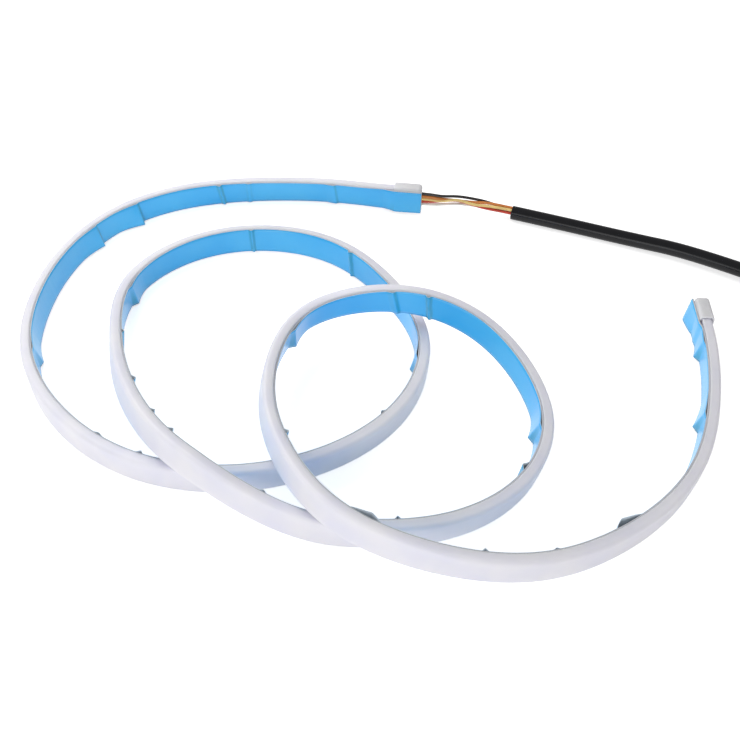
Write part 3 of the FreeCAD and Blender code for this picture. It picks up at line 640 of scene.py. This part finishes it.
def layer_tree():
    """A tree that carries a rounded section with a crowned front along a path, and ripples its skin."""
    tree = bpy.data.node_groups.new("strip_layer", "GeometryNodeTree")
    face = tree.interface
    face.new_socket("Path", in_out="INPUT", socket_type="NodeSocketGeometry")
    for name in ("Depth", "Width", "Front corner", "Back corner", "Crown", "Spacing", "Ripple"):
        face.new_socket(name, in_out="INPUT", socket_type="NodeSocketFloat")
    face.new_socket("Material", in_out="INPUT", socket_type="NodeSocketMaterial")
    face.new_socket("Layer", in_out="OUTPUT", socket_type="NodeSocketGeometry")
    given = add_node(tree, "NodeGroupInput").outputs

    to_curve = add_node(tree, "GeometryNodeMeshToCurve", {"Mesh": given["Path"]})
    outward = add_node(tree, "GeometryNodeInputNamedAttribute", data_type="FLOAT_VECTOR")
    set_inputs(outward, Name="outward")
    turned = add_node(tree, "GeometryNodeSetCurveNormal", {
        "Curve": to_curve.outputs["Curve"],
        "Normal": outward.outputs["Attribute"],
    }, mode="FREE")

    section = add_node(tree, "GeometryNodeCurvePrimitiveQuadrilateral", {
        "Width": given["Depth"],
        "Height": given["Width"],
    }, mode="RECTANGLE")
    place = add_node(tree, "GeometryNodeInputPosition")
    parts = add_node(tree, "ShaderNodeSeparateXYZ", {"Vector": place.outputs["Position"]})
    at_front = add_node(
        tree, "FunctionNodeCompare", {"A": parts.outputs["X"]}, data_type="FLOAT", operation="GREATER_THAN")
    corner = add_node(tree, "GeometryNodeSwitch", {
        "Switch": at_front.outputs["Result"],
        "False": given["Back corner"],
        "True": given["Front corner"],
    }, input_type="FLOAT")
    rounded = add_node(tree, "GeometryNodeFilletCurve", {
        "Curve": section.outputs["Curve"],
        "Radius": corner.outputs["Output"],
    }, mode="POLY")
    set_inputs(rounded, Count=FILLET_STEPS)
    even = add_node(tree, "GeometryNodeResampleCurve", {
        "Curve": rounded.outputs["Curve"],
        "Length": given["Spacing"],
    }, mode="LENGTH")
    # The share runs from -1/2 to 1/2, so 4 times its square is 1 at both edges
    share = maths(tree, "DIVIDE", parts.outputs["Y"], given["Width"])
    drop = maths(tree, "MULTIPLY", maths(tree, "MULTIPLY", share, share), given["Crown"])
    moved = add_node(tree, "ShaderNodeCombineXYZ", {"X": maths(tree, "MULTIPLY", drop, -4.0)})
    crowned = add_node(tree, "GeometryNodeSetPosition", {
        "Geometry": even.outputs["Curve"],
        "Selection": at_front.outputs["Result"],
        "Offset": moved.outputs["Vector"],
    })
    across = add_node(tree, "GeometryNodeStoreNamedAttribute", {
        "Geometry": crowned.outputs["Geometry"],
        "Value": parts.outputs["Y"],
    }, data_type="FLOAT", domain="POINT")
    set_inputs(across, Name="across")

    skin = add_node(tree, "GeometryNodeCurveToMesh", {
        "Curve": turned.outputs["Curve"],
        "Profile Curve": across.outputs["Geometry"],
    })
    set_inputs(skin, Fill_Caps=True)
    waves = add_node(tree, "ShaderNodeTexNoise")
    set_inputs(waves, Scale=RIPPLE_SCALE, Detail=RIPPLE_DETAIL)
    # The noise runs from 0 to 1, so less a half it goes both ways
    in_and_out = maths(tree, "SUBTRACT", waves.outputs["Fac"], 0.5)
    normal = add_node(tree, "GeometryNodeInputNormal")
    push = add_node(tree, "ShaderNodeVectorMath", {
        "Vector": normal.outputs["Normal"],
        "Scale": maths(tree, "MULTIPLY", in_and_out, given["Ripple"]),
    }, operation="SCALE")
    rippled = add_node(tree, "GeometryNodeSetPosition", {
        "Geometry": skin.outputs["Mesh"],
        "Offset": push.outputs["Vector"],
    })

    smooth = add_node(tree, "GeometryNodeSetShadeSmooth", {"Geometry": rippled.outputs["Geometry"]})
    real = add_node(tree, "GeometryNodeRealizeInstances", {"Geometry": smooth.outputs["Geometry"]})
    coated = add_node(tree, "GeometryNodeSetMaterial", {
        "Geometry": real.outputs["Geometry"],
        "Material": given["Material"],
    })
    add_node(tree, "NodeGroupOutput", {"Layer": coated.outputs["Geometry"]})
    return tree


def grown(obj, tree, values):
    """Runs a tree on an object with its inputs set by name, and leaves a plain mesh."""
    modifier = obj.modifiers.new(tree.name, "NODES")
    modifier.node_group = tree
    for item in tree.interface.items_tree:
        if item.item_type == "SOCKET" and item.in_out == "INPUT" and item.name in values:
            modifier[item.identifier] = values[item.name]
    obj.update_tag()
    graph = bpy.context.evaluated_depsgraph_get()
    mesh = bpy.data.meshes.new_from_object(obj.evaluated_get(graph), depsgraph=graph)
    obj.modifiers.remove(modifier)
    bare = obj.data
    obj.data = mesh
    mesh.name = obj.name
    bpy.data.meshes.remove(bare)
    return obj


class LIGHTSTRIP_OT_sleeve(bpy.types.Operator):
    """The milky sleeve and the foam tape on its back"""
    bl_idname = "lightstrip.sleeve"
    bl_label = "Sleeve and tape"

    def execute(self, context):
        looks = context.scene.strip_sleeve
        tree = layer_tree()
        sleeve = path_object("silicone_sleeve", stations_between(SLEEVE_INSET, SLEEVE_STEP), MIDDLE_DEPTH)
        grown(sleeve, tree, {
            "Depth": SLEEVE_DEPTH * MM, "Width": STRIP_WIDTH * MM, "Front corner": looks.front_corner,
            "Back corner": looks.back_corner, "Crown": looks.crown, "Spacing": SLEEVE_SPACING * MM,
            "Ripple": looks.ripple,
            "Material": silicone_material("milky_silicone", tuple(looks.silicone), haze=0.8)})
        finish_piece(sleeve, "milky_silicone", "diffuser_sleeve")
        stations = stations_between(0, TAPE_STEP)
        middle = -BOND_GAP - TAPE_THICKNESS / 2 - cap_step(stations)
        tape = path_object("foam_tape", stations, middle)
        grown(tape, tree, {
            "Depth": TAPE_THICKNESS * MM, "Width": LINER_WIDTH * MM, "Front corner": TAPE_CORNER * MM,
            "Back corner": TAPE_CORNER * MM, "Crown": 0.0, "Spacing": TAPE_SPACING * MM, "Ripple": 0.0,
            "Material": foam_material(tuple(looks.foam))})
        finish_piece(tape, "foam_tape", "adhesive_tape")
        return {"FINISHED"}


def fold_offset(station, height):
    """How far the film stands off the tape at stations, at one height."""
    up = height / LINER_WIDTH + 0.5
    offset = np.zeros(len(station))
    for share, top, foot, before, after, slant in FOLDS:
        past = station - share * STRIP_LENGTH - slant * height
        crest = foot + (top - foot) * up
        for run, side in ((before, past < 0), (after, past >= 0)):
            power = 1.0 if run <= STRAIGHT_SIDE else BOWED_POWER if run <= BOWED_SIDE else SMOOTH_POWER
            offset[side] += crest * np.clip(1 - np.abs(past[side]) / run, 0, 1) ** power
    return offset


class LIGHTSTRIP_OT_liner(bpy.types.Operator):
    """The blue release film with its folds"""
    bl_idname = "lightstrip.liner"
    bl_label = "Liner film"

    def execute(self, context):
        looks = context.scene.strip_liner
        stations = stations_between(0, LINER_STEP)
        heights = np.linspace(-LINER_WIDTH / 2, LINER_WIDTH / 2, LINER_ROWS)
        offsets = np.array([fold_offset(stations, height) for height in heights]) * looks.fold_height
        flat_depth = -BACKING + LINER_THICKNESS / 2 - cap_step(stations)
        rows = [COURSE.point(stations, flat_depth - offset, height)
                for offset, height in zip(offsets, heights)]
        points = np.concatenate(rows) * MM
        slopes = np.abs(np.gradient(offsets, stations, axis=1))
        # How steep each fold side is, which sets how much shade is painted there
        steep = np.interp(slopes, PAINTED_SHADE_SLOPES, (0, 1))
        count = len(stations)
        faces = []
        for row in range(len(heights) - 1):
            for number in range(count - 1):
                low = row * count + number
                high = low + count
                faces.append((low, high, high + 1, low + 1))
        film = new_mesh_object("liner_film", points, faces, liner_material(tuple(looks.film)))
        film.data.materials.append(plastic_material("film_back", tuple(looks.film_back), roughness=0.5))
        smooth_faces(film)
        for name, values in (
            ("station", np.tile(stations, len(heights)) * MM),
            ("across", np.repeat(heights, count) * MM),
            ("steep", steep.ravel()),
        ):
            attribute = film.data.attributes.new(name, "FLOAT", "POINT")
            attribute.data.foreach_set("value", values.astype(np.float32))
        wall = film.modifiers.new("thickness", "SOLIDIFY")
        wall.thickness = LINER_THICKNESS * MM
        wall.offset = 0
        # The tape side and the cut edges take the pale colour, painted light for light shining through the
        # film
        wall.material_offset = 1
        wall.material_offset_rim = 1
        finish_piece(film, "blue_liner", "release_liner")
        return {"FINISHED"}


def rounded_ring(half_depth, half_height, corner, steps=RING_STEPS):
    """Points of a rounded rectangle about the middle, as (across, up)."""
    corner = min(corner, half_depth * CORNER_SHARE, half_height * CORNER_SHARE)
    ring = []
    for quarter, (sign_across, sign_up) in enumerate(((1, 1), (-1, 1), (-1, -1), (1, -1))):
        for number in range(steps + 1):
            turn = math.pi / 2 * (quarter + number / steps)
            ring.append((sign_across * (half_depth - corner) + corner * math.cos(turn),
                         sign_up * (half_height - corner) + corner * math.sin(turn)))
    return ring


def loft(name, rings, material):
    """A closed skin over rings of as many points each, filled at its first and last ring."""
    count = len(rings[0])
    points = [point for ring in rings for point in ring]
    faces = [tuple(reversed(range(count)))]
    for number in range(len(rings) - 1):
        for step in range(count):
            low = number * count
            following = (step + 1) % count
            faces.append((low + step, low + following, low + count + following, low + count + step))
    faces.append(tuple(range(len(points) - count, len(points))))
    obj = new_mesh_object(name, points, faces, material)
    smooth_faces(obj)
    return obj


class LIGHTSTRIP_OT_caps(bpy.types.Operator):
    """The two end caps, hollow from their mouths"""
    bl_idname = "lightstrip.caps"
    bl_label = "End caps"

    def execute(self, context):
        looks = context.scene.strip_sleeve
        material = silicone_material("cap_silicone", tuple(looks.cap), haze=0.6)
        rounding = looks.cap_rounding / MM
        outer = (SLEEVE_DEPTH / 2 + CAP_SIDE, STRIP_WIDTH / 2 + CAP_SIDE)
        inner = (SLEEVE_DEPTH / 2 + CAP_GAP, STRIP_WIDTH / 2 + CAP_GAP)
        lip = CAP_WALL / 2
        outline = []
        for number in range(CAP_EDGE_STEPS + 1):
            turn = math.pi / 2 * number / CAP_EDGE_STEPS
            inset = rounding * (1 - math.sin(turn))
            outline.append((rounding * (1 - math.cos(turn)), outer, inset, rounding))
        for number in range(1, CAP_LIP_STEPS + 1):
            turn = math.pi * number / CAP_LIP_STEPS
            inset = lip * (1 - math.cos(turn))
            outline.append((CAP_LENGTH - lip + lip * math.sin(turn), outer, inset, rounding))
        outline.append((CAP_END_WALL, inner, 0.0, CAP_INNER_CORNER))
        for name, node, turned in (
            ("cable_cap", "cable_end_cap", False),
            ("tail_cap", "tail_end_cap", True),
        ):
            rings = []
            for from_end, (half_depth, half_height), inset, corner in outline:
                station = STRIP_LENGTH - from_end if turned else from_end
                corner = max(corner - inset, CAP_LEAST_CORNER)
                ring = rounded_ring(half_depth - inset, half_height - inset, corner)
                across, up = np.array(ring if turned else ring[::-1]).T
                place = COURSE.point(np.full(len(ring), station), MIDDLE_DEPTH + across, up)
                rings.append(place * MM)
            finish_piece(loft(name, rings, material), "cap_silicone", node)
        return {"FINISHED"}


class LIGHTSTRIP_OT_circuit(bpy.types.Operator):
    """Finishes for the circuit, chips, solder and sealant inside the sleeve"""
    bl_idname = "lightstrip.circuit"
    bl_label = "Circuit inside"

    def execute(self, context):
        looks = context.scene.strip_sleeve
        solder = solder_material("bright_solder", SOLDER_COLOUR)
        sealant = silicone_material("clear_sealant", tuple(looks.cap), haze=0.3)
        black_epoxy = plastic_material("black_epoxy", EPOXY_COLOUR, roughness=0.5)
        for node, material in (
            ("flex_circuit", plastic_material("white_solder_mask", MASK_COLOUR, roughness=0.4)),
            ("red_leds", plastic_material("red_chip_lens", RED_LENS_COLOUR, roughness=0.18)),
            ("amber_leds", plastic_material("amber_chip_lens", AMBER_LENS_COLOUR, roughness=0.2)),
            ("resistors", black_epoxy),
            ("driver_chips", black_epoxy),
            ("solder_pads", solder),
            ("solder_joints", solder),
            ("tinned_tips", solder),
            ("cable_end_seal", sealant),
            ("tail_end_seal", sealant),
        ):
            dress_node(node, material)
        return {"FINISHED"}


def lead_place(out, side, height):
    """A point given out of the cable end cap, to the side away from the loops, and up."""
    return LEAD_ORIGIN + LEAD_OUT * out + LEAD_SIDE * side + np.array([0, 0, height])


def lead_frame():
    """Where the lead leaves the strip, and the directions out and to the side there."""
    place, along, outward = COURSE.floor(np.zeros(1))
    return [np.array([*vector, 0.0]) for vector in (place[0], -along[0], outward[0])]


LEAD_ORIGIN, LEAD_OUT, LEAD_SIDE = lead_frame()
CAP_MIDDLE = STRIP_WIDTH / 2 + CAP_SIDE
UP = np.array([0.0, 0.0, 1.0])


def coil_frame():
    """The coil's middle, and the angle at which the sheath comes onto it."""
    heading = math.radians(COIL_HEADING)
    into = LEAD_OUT * math.cos(heading) + LEAD_SIDE * math.sin(heading)
    entry = lead_place(*SHEATH_ROUTE[-1], COIL_HEIGHT) + into * COIL_RUN_IN
    centre = entry + np.cross(UP, into) * COIL_RADIUS
    start = entry - centre
    return centre, math.atan2(start[1], start[0])


COIL_CENTRE, COIL_START = coil_frame()
COIL_END = COIL_START + 2 * math.pi * COIL_TURNS
COIL_END_RADIUS = COIL_RADIUS - COIL_PITCH * COIL_TURNS


def spoke(angle):
    """The direction out of the coil's middle at an angle."""
    return np.array([math.cos(angle), math.sin(angle), 0.0])


def sheath_route():
    """The sheath's points over the floor to its coil, and round the coil inward."""
    floor_height = SHEATH_DIAMETER / 2
    heights = [floor_height] * (len(SHEATH_ROUTE) - 1) + [COIL_HEIGHT]
    points = [lead_place(*spot, height) for spot, height in zip(SHEATH_ROUTE, heights)]
    steps = math.ceil(COIL_POINTS_A_TURN * COIL_TURNS)
    step = (COIL_END - COIL_START) / steps
    widened = 1 / math.cos(step / 2)
    for number in range(1, steps):
        angle = COIL_START + step * (number - 0.5)
        radius = (COIL_RADIUS - COIL_PITCH * COIL_TURNS * (number - 0.5) / steps) * widened
        points.append(COIL_CENTRE + spoke(angle) * radius)
    points.append(COIL_CENTRE + spoke(COIL_END - step / 2) * COIL_END_RADIUS * widened)
    points.append(COIL_CENTRE + spoke(COIL_END) * COIL_END_RADIUS)
    return points


def core_offset(angle, sideways):
    """A core's place in the sheath's end, from the end's middle."""
    turn = math.radians(angle)
    return (sideways * math.cos(turn) + UP * math.sin(turn)) * CORE_RING_RADIUS


def core_route(core, height):
    """A core from its solder joint through the cap to the sheath's end."""
    between, angle = CORES[core][:2]
    points = [lead_place(-CORE_INSIDE, CORE_SIDE, CAP_MIDDLE + height)]
    points.append(lead_place(CORE_STRAIGHT_OUT, CORE_SIDE, CAP_MIDDLE + height))
    points += [lead_place(*spot) for spot in between]
    start, following = sheath_route()[:2]
    into = (following - start) / np.linalg.norm(following - start)
    end = start + UP * CORE_RING_RISE + core_offset(angle, np.cross(UP, into))
    return points + [end - into * CORE_STRAIGHT_IN, end]


def tail_route(core):
    """A core from the sheath's far end in towards the middle of the coil, down to its tip."""
    angle, turn_in = CORES[core][2:]
    out = spoke(COIL_END)
    onward = np.cross(UP, out)
    turned = math.radians(turn_in)
    away = onward * math.cos(turned) - out * math.sin(turned)
    start = COIL_CENTRE + out * COIL_END_RADIUS + core_offset(angle, -out)
    bend = start + onward * TAIL_FIRST_RUN
    run = TAIL_LENGTH - TAIL_FIRST_RUN
    slope = (bend[2] - TIP_DIAMETER) / (run + TIP_LENGTH)
    return [start, bend, bend + away * run - UP * (slope * run)]


def cord_curve(name, route, diameter, material):
    """A round cord along a smooth line whose control points are the route's."""
    curve = bpy.data.curves.new(name, "CURVE")
    curve.dimensions = "3D"
    spline = curve.splines.new("NURBS")
    spline.points.add(len(route) - 1)
    for point, place in zip(spline.points, route):
        point.co = (*(place * MM), 1)
    spline.order_u = CORD_ORDER
    spline.use_endpoint_u = True
    spline.resolution_u = CORD_STEPS
    curve.bevel_depth = diameter / 2 * MM
    curve.bevel_resolution = CORD_ROUNDING
    curve.use_fill_caps = True
    curve.materials.append(material)
    return link(bpy.data.objects.new(name, curve))


def tie_pieces(material):
    """A nylon band that hugs the coil's two turns, and its head with the cut end."""
    turns = COIL_TURNS - TIE_BEFORE_END / 360
    out = spoke(COIL_END - math.radians(TIE_BEFORE_END))
    along = np.cross(UP, out)
    half = COIL_PITCH / 2
    middle = COIL_CENTRE + out * (COIL_RADIUS - COIL_PITCH * turns + half)
    reach = SHEATH_DIAMETER / 2 + TIE_GAP + TIE_THICKNESS / 2
    ring = np.array(rounded_ring(half + reach, reach, reach, TIE_RING_STEPS))
    points = middle + ring[:, :1] * out + ring[:, 1:] * UP
    nearest = np.column_stack([np.clip(ring[:, 0], -half, half), np.zeros(len(ring))])
    away = ring - nearest
    away = away / np.linalg.norm(away, axis=1)[:, None]
    outward = away[:, :1] * out + away[:, 1:] * UP
    edges = [(number, (number + 1) % len(points)) for number in range(len(points))]
    band = grown(line_object("tie_band", points, outward, edges), layer_tree(), {
        "Depth": TIE_THICKNESS * MM, "Width": TIE_WIDTH * MM, "Front corner": TIE_OUTER_CORNER * MM,
        "Back corner": TIE_INNER_CORNER * MM, "Crown": 0.0, "Spacing": TIE_SPACING * MM, "Ripple": 0.0,
        "Material": material})
    length, width, height = TIE_HEAD
    base = middle + UP * (reach - TIE_THICKNESS / 2 + height / 2)
    end = length / 2
    block = (width / 2, height / 2)
    narrowed = (width / 2 - TIE_HEAD_EDGE, height / 2 - TIE_HEAD_EDGE)
    strap = (TIE_WIDTH / 2, TIE_THICKNESS / 2)
    rings = []
    for place, halves in (
        (-end, narrowed), (-end + TIE_HEAD_EDGE, block), (end - TIE_HEAD_EDGE, block), (end, narrowed),
        (end, strap), (end + TIE_CUT_END, strap),
    ):
        section = np.array(rounded_ring(*halves, TIE_HEAD_CORNER))
        rings.append((base + out * place + section[:, :1] * along + section[:, 1:] * UP) * MM)
    head = loft("tie_head", rings, material)
    head.data.set_sharp_from_angle(angle=math.radians(SHARP_ANGLE))
    finish_piece(band, "black_nylon", "coil_tie")
    return [band, finish_piece(head, "black_nylon")]


class LIGHTSTRIP_OT_lead(bpy.types.Operator):
    """The five cores, the sheath with its coil, and the tie"""
    bl_idname = "lightstrip.lead"
    bl_label = "Lead"

    def execute(self, context):
        looks = context.scene.strip_lead
        for number, core in enumerate(CORES):
            height = CORE_PITCH * (len(CORES) // 2 - number)
            material = plastic_material(f"{core}_insulation", tuple(getattr(looks, core)), roughness=0.3)
            front = cord_curve(f"core_{core}", core_route(core, height), CORE_DIAMETER, material)
            finish_piece(front, f"wire_{core}", f"wire_{core}")
            tail = cord_curve(f"core_tail_{core}", tail_route(core), CORE_DIAMETER, material)
            finish_piece(tail, f"wire_{core}")
        tie = tie_pieces(plastic_material("black_nylon", NYLON_COLOUR, roughness=0.45))
        route = sheath_route()
        sleeving = plastic_material("black_sheath", tuple(looks.sheath), roughness=0.2, gloss=0.28)
        sheath = cord_curve("lead_sheath", route, SHEATH_DIAMETER, sleeving)
        finish_piece(sheath, "black_sheath", "cable_sheath", "cable_coil")
        return {"FINISHED"}


def add_lamp(name, place, target, size, power):
    """A round soft lamp that the camera doesn't see."""
    lamp = bpy.data.lights.new(name, "AREA")
    lamp.shape = "DISK"
    lamp.size = size
    lamp.energy = power
    obj = link(bpy.data.objects.new(name, lamp))
    obj.location = place
    obj.visible_camera = False
    obj.rotation_euler = (Vector(target) - Vector(place)).to_track_quat("-Z", "Y").to_euler()


class LIGHTSTRIP_OT_stage(bpy.types.Operator):
    """The white floor, the lamps and the camera"""
    bl_idname = "lightstrip.stage"
    bl_label = "Stage"

    def execute(self, context):
        looks = context.scene.strip_stage
        scene = context.scene
        scene.view_settings.view_transform = "Standard"
        self.add_floor(looks)
        world = bpy.data.worlds.new("studio")
        world.use_nodes = True
        scene.world = world
        self.light_world(world.node_tree, looks.sky)
        add_lamp("key_lamp", *KEY_LAMP, looks.key_power)
        add_lamp("fill_lamp", *FILL_LAMP, looks.fill_power)
        camera = bpy.data.cameras.new("camera")
        camera.lens = CAMERA_LENS
        camera.sensor_width = SENSOR_WIDTH
        camera.clip_start = CAMERA_NEAR * MM
        obj = link(bpy.data.objects.new("camera", camera))
        tilt = math.radians(CAMERA_ELEVATION)
        back = Vector((0, -math.cos(tilt), math.sin(tilt)))
        obj.location = (Vector(CAMERA_TARGET) + back * CAMERA_DISTANCE) * MM
        obj.rotation_euler = (math.pi / 2 - tilt, 0, 0)
        scene.camera = obj
        return {"FINISHED"}

    @staticmethod
    def add_floor(looks):
        """A large matt floor that the camera, gloss and glass see lifted towards white."""
        square = np.array([(-1, -1, 0), (1, -1, 0), (1, 1, 0), (-1, 1, 0)])
        corners = (square * FLOOR_REACH + UP * FLOOR_LEVEL) * MM
        material, tree, shader = new_material(
            "white_floor", tuple(looks.floor), roughness=0.9, Specular_IOR_Level=0.0)
        seen = add_node(tree, "ShaderNodeLightPath")
        shown = seen.outputs["Is Camera Ray"]
        for kind in ("Is Glossy Ray", "Is Transmission Ray"):
            shown = maths(tree, "MAXIMUM", shown, seen.outputs[kind])
        glow = maths(tree, "MULTIPLY", shown, looks.floor_glow)
        tree.links.new(glow, shader.inputs["Emission Strength"])
        set_inputs(shader, Emission_Color=(1, 1, 1, 1))
        new_mesh_object("floor", corners, [(0, 1, 2, 3)], material)

    @staticmethod
    def light_world(tree, sky):
        """Even white light, and plain white where the camera sees past the floor."""
        background = tree.nodes["Background"]
        set_inputs(background, Color=(1, 1, 1, 1))
        seen = add_node(tree, "ShaderNodeLightPath")
        strength = add_node(tree, "ShaderNodeMapRange", {"Value": seen.outputs["Is Camera Ray"]})
        set_inputs(strength, To_Min=sky, To_Max=1.0)
        tree.links.new(strength.outputs["Result"], background.inputs["Strength"])


class LIGHTSTRIP_PT_panel(bpy.types.Panel):
    """Lists the strip's pieces and their sizes and colours"""
    bl_label = "Light strip"
    bl_idname = "LIGHTSTRIP_PT_panel"
    bl_space_type = "VIEW_3D"
    bl_region_type = "UI"
    bl_category = "Light strip"

    def draw(self, context):
        for group, operators in PANEL_ROWS:
            settings = getattr(context.scene, group)
            box = self.layout.box()
            for name in settings.bl_rna.properties.keys():
                if name not in ("rna_type", "name"):
                    box.prop(settings, name)
            for operator in operators:
                box.operator(operator.bl_idname)


PANEL_ROWS = (
    ("strip_sleeve", (LIGHTSTRIP_OT_sleeve, LIGHTSTRIP_OT_caps, LIGHTSTRIP_OT_circuit)),
    ("strip_liner", (LIGHTSTRIP_OT_liner,)),
    ("strip_lead", (LIGHTSTRIP_OT_lead,)),
    ("strip_stage", (LIGHTSTRIP_OT_stage,)),
)
SETTINGS = {
    "strip_sleeve": SleeveSettings,
    "strip_liner": LinerSettings,
    "strip_lead": LeadSettings,
    "strip_stage": StageSettings,
}
CLASSES = (*SETTINGS.values(), LIGHTSTRIP_OT_sleeve, LIGHTSTRIP_OT_liner, LIGHTSTRIP_OT_caps,
           LIGHTSTRIP_OT_circuit, LIGHTSTRIP_OT_lead, LIGHTSTRIP_OT_stage, LIGHTSTRIP_PT_panel)


def register():
    for item in CLASSES:
        bpy.utils.register_class(item)
    for name, group in SETTINGS.items():
        setattr(bpy.types.Scene, name, PointerProperty(type=group))


def unregister():
    for name in SETTINGS:
        delattr(bpy.types.Scene, name)
    for item in reversed(CLASSES):
        bpy.utils.unregister_class(item)


def main():
    register()
    for make in (bpy.ops.lightstrip.stage, bpy.ops.lightstrip.sleeve, bpy.ops.lightstrip.liner,
                 bpy.ops.lightstrip.caps, bpy.ops.lightstrip.circuit, bpy.ops.lightstrip.lead):
        make()


if __name__ == "__main__":
    main()
